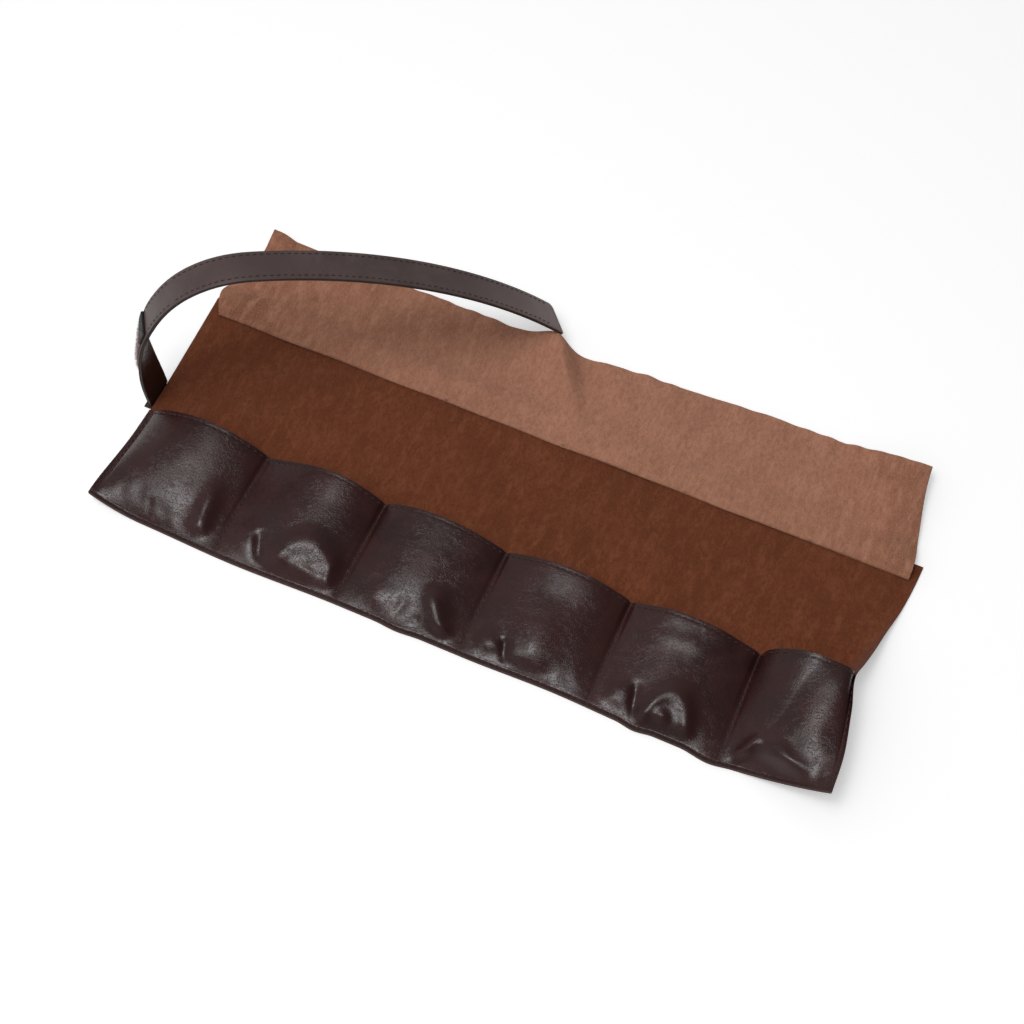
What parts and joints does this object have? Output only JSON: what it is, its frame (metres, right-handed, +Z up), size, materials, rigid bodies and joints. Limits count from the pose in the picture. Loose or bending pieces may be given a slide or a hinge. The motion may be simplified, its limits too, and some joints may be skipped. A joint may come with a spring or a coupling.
{
  "type": "watch roll",
  "caption": "Roll-up leather travel case with a row of sewn watch pockets, a fold-over flap and a wrap strap, shown open.",
  "frame": {"origin": "on the resting plane, under the middle of the body panel's length and depth", "axes": "+X along the open case from the strap end to the curled end, +Y from the pockets to the flap, +Z up"},
  "size_m": [0.4868, 0.2363, 0.1169],
  "materials": {
    "body_hide": "reddish brown suede above, dark glossy grain below",
    "pocket_hide": "dark brown glossy pulled-up grain",
    "flap_hide": "pale brown suede above, dark glossy grain below",
    "strap_hide": "grey-brown smooth grain",
    "strap_lining": "dark brown glossy grain",
    "thread": "waxed brown thread",
    "strap_thread": "waxed dark thread",
    "loop_pile": "napped loop pile",
    "hook_tape": "dark woven hook tape"
  },
  "bodies": {
    "leaf_1": {"body_panel_1": "body_hide", "pocket_panel_1": "pocket_hide", "flap_margin_1": "flap_hide", "seam_thread_1": "thread", "hem_thread_1": "thread", "flap_thread_1": "thread", "strap_tab": "strap_lining", "strap_face_riser": "strap_hide", "strap_back_riser": "strap_lining", "strap_thread_riser": "strap_thread"},
    "flap_1": {"flap_panel_1": "flap_hide"},
    "leaf_2": {"body_panel_2": "body_hide", "pocket_panel_2": "pocket_hide", "flap_margin_2": "flap_hide", "seam_thread_2": "thread", "hem_thread_2": "thread", "flap_thread_2": "thread"},
    "flap_2": {"flap_panel_2": "flap_hide"},
    "leaf_3": {"body_panel_3": "body_hide", "pocket_panel_3": "pocket_hide", "flap_margin_3": "flap_hide", "seam_thread_3": "thread", "hem_thread_3": "thread", "flap_thread_3": "thread"},
    "flap_3": {"flap_panel_3": "flap_hide"},
    "leaf_4": {"body_panel_4": "body_hide", "pocket_panel_4": "pocket_hide", "flap_margin_4": "flap_hide", "seam_thread_4": "thread", "hem_thread_4": "thread", "flap_thread_4": "thread"},
    "flap_4": {"flap_panel_4": "flap_hide"},
    "leaf_5": {"body_panel_5": "body_hide", "pocket_panel_5": "pocket_hide", "flap_margin_5": "flap_hide", "seam_thread_5": "thread", "hem_thread_5": "thread", "flap_thread_5": "thread"},
    "flap_5": {"flap_panel_5": "flap_hide"},
    "leaf_6": {"body_panel_6": "body_hide", "pocket_panel_6": "pocket_hide", "flap_margin_6": "flap_hide", "seam_thread_6": "thread", "hem_thread_6": "thread", "flap_thread_6": "thread"},
    "flap_6": {"flap_panel_6": "flap_hide"},
    "strap_lower": {"strap_face_lower": "strap_hide", "strap_back_lower": "strap_lining", "strap_thread_lower": "strap_thread", "loop_tape": "loop_pile"},
    "strap_upper": {"strap_face_upper": "strap_hide", "strap_back_upper": "strap_lining", "strap_thread_upper": "strap_thread", "hook_tape": "hook_tape"}
  },
  "joints": [
    {"name": "roll_1", "type": "hinge", "parent": "leaf_1", "child": "leaf_2", "pos_m": [-0.152, 0, 0.0048], "axis": [0, -1, 0], "range_deg": [0, 50]},
    {"name": "roll_2", "type": "hinge", "parent": "leaf_2", "child": "leaf_3", "pos_m": [-0.072, 0, 0.0048], "axis": [0, -1, 0], "range_deg": [0, 50]},
    {"name": "roll_3", "type": "hinge", "parent": "leaf_3", "child": "leaf_4", "pos_m": [0.008, 0, 0.0048], "axis": [0, -1, 0], "range_deg": [0, 50]},
    {"name": "roll_4", "type": "hinge", "parent": "leaf_4", "child": "leaf_5", "pos_m": [0.088, 0, 0.0048], "axis": [0, -1, 0], "range_deg": [0, 50]},
    {"name": "roll_5", "type": "hinge", "parent": "leaf_5", "child": "leaf_6", "pos_m": [0.168, 0, 0.0048], "axis": [0, -1, 0], "range_deg": [0, 50]},
    {"name": "flap_fold_1", "type": "hinge", "parent": "leaf_1", "child": "flap_1", "pos_m": [-0.196, 0.0704, 0.00325], "axis": [1, 0, 0], "range_deg": [0, 180]},
    {"name": "flap_fold_2", "type": "hinge", "parent": "leaf_2", "child": "flap_2", "pos_m": [-0.112, 0.0704, 0.00325], "axis": [1, 0, 0], "range_deg": [0, 180]},
    {"name": "flap_fold_3", "type": "hinge", "parent": "leaf_3", "child": "flap_3", "pos_m": [-0.032, 0.0704, 0.00325], "axis": [1, 0, 0], "range_deg": [0, 180]},
    {"name": "flap_fold_4", "type": "hinge", "parent": "leaf_4", "child": "flap_4", "pos_m": [0.048, 0.0704, 0.00325], "axis": [1, 0, 0], "range_deg": [0, 180]},
    {"name": "flap_fold_5", "type": "hinge", "parent": "leaf_5", "child": "flap_5", "pos_m": [0.128, 0.0704, 0.00325], "axis": [1, 0, 0], "range_deg": [0, 180]},
    {"name": "flap_fold_6", "type": "hinge", "parent": "leaf_6", "child": "flap_6", "pos_m": [0.204, 0.0704, 0.00325], "axis": [1, 0, 0], "range_deg": [0, 180]},
    {"name": "strap_swing", "type": "hinge", "parent": "leaf_1", "child": "strap_lower", "pos_m": [-0.24292, 0.00072, 0.04], "axis": [0.211, -0.9775, 0], "range_deg": [0, 125]},
    {"name": "strap_flex", "type": "hinge", "parent": "strap_lower", "child": "strap_upper", "pos_m": [-0.14835, 0.06533, 0.10807], "axis": [0.5678, -0.8231, 0], "range_deg": [0, 45]}
  ],
  "couplings": [
    {"joint": "roll_2", "follows": "roll_1", "ratio": 1},
    {"joint": "roll_3", "follows": "roll_1", "ratio": 1},
    {"joint": "roll_4", "follows": "roll_1", "ratio": 1},
    {"joint": "roll_5", "follows": "roll_1", "ratio": 1},
    {"joint": "flap_fold_2", "follows": "flap_fold_1", "ratio": 1},
    {"joint": "flap_fold_3", "follows": "flap_fold_1", "ratio": 1},
    {"joint": "flap_fold_4", "follows": "flap_fold_1", "ratio": 1},
    {"joint": "flap_fold_5", "follows": "flap_fold_1", "ratio": 1},
    {"joint": "flap_fold_6", "follows": "flap_fold_1", "ratio": 1},
    {"joint": "strap_swing", "follows": "roll_1", "ratio": 2.5},
    {"joint": "strap_flex", "follows": "flap_fold_1", "ratio": 0.25}
  ]
}
